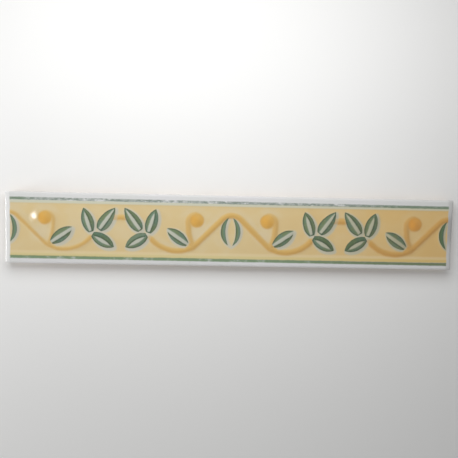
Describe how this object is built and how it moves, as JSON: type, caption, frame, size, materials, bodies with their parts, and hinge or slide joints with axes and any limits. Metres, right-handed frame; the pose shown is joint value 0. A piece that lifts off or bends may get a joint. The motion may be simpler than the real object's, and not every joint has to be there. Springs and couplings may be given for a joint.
{
  "type": "relief border tile",
  "caption": "Long narrow glazed ceramic border tile: a raised leaf-scroll vine on a recessed field between plain rails, with a flat keyed back that is bonded to a wall.",
  "frame": {"origin": "middle of the flat back, so the tile lies on its back on the XY plane", "axes": "+X along the tile, +Y across it towards the top of the vine, +Z out of the glazed face"},
  "size_m": [0.25, 0.0396, 0.0086],
  "materials": {
    "glaze": "glossy white glaze with a yellow field, orange stems and green leaves and lines fired in"
  },
  "bodies": {
    "root": {"border_tile": "glaze"}
  },
  "joints": []
}
